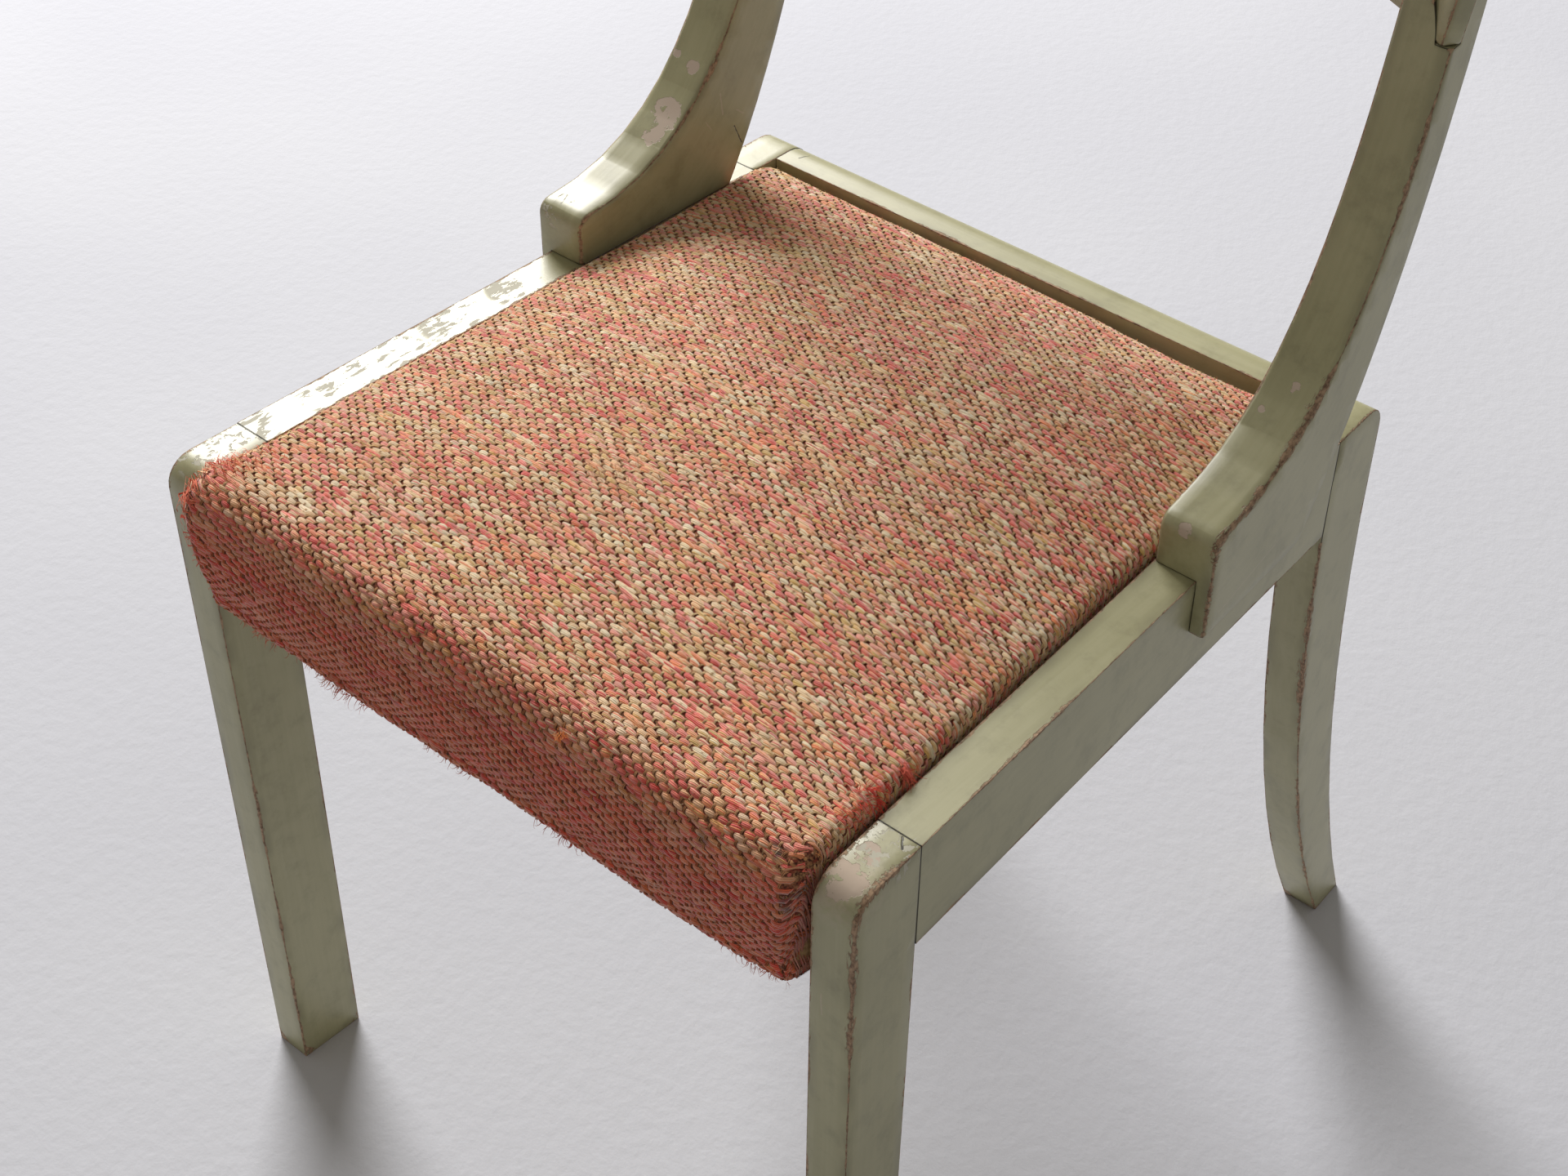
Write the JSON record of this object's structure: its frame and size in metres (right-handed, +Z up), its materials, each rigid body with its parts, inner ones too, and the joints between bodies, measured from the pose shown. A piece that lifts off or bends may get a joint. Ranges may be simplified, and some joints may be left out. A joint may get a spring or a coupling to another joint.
{
  "type": "side chair",
  "caption": "Painted wooden side chair with sabre rear legs, curved back posts, a bent crest board and a loose seat in coarse woven cloth.",
  "frame": {"origin": "on the floor under the middle of the chair's box", "axes": "+Z up, -Y the way that a sitter faces, +X to the right as seen from the front"},
  "size_m": [0.4514, 0.5373, 0.7735],
  "materials": {
    "paint": "old grey-green paint, worn and peeling",
    "bare_wood": "sawn and unpainted",
    "webbing": "jute",
    "stuffing": "cotton felt",
    "weave": "coarse wool and linen weave"
  },
  "bodies": {
    "root": {"back_post_left": "paint", "back_post_right": "paint", "back_rail": "paint", "corner_block_front_left": "bare_wood", "corner_block_front_right": "bare_wood", "corner_block_rear_left": "bare_wood", "corner_block_rear_right": "bare_wood", "crest_rail": "paint", "front_leg_left": "paint", "front_leg_right": "paint", "front_rail": "paint", "rear_leg_left": "paint", "rear_leg_right": "paint", "seat_cover": "weave", "seat_frame_back": "bare_wood", "seat_frame_front": "bare_wood", "seat_frame_left": "bare_wood", "seat_frame_right": "bare_wood", "seat_stuffing": "stuffing", "side_rail_left": "paint", "side_rail_right": "paint", "strap_cross_1": "webbing", "strap_cross_2": "webbing", "strap_cross_3": "webbing", "strap_cross_4": "webbing", "strap_long_1": "webbing", "strap_long_2": "webbing", "strap_long_3": "webbing", "strap_long_4": "webbing"}
  },
  "joints": []
}
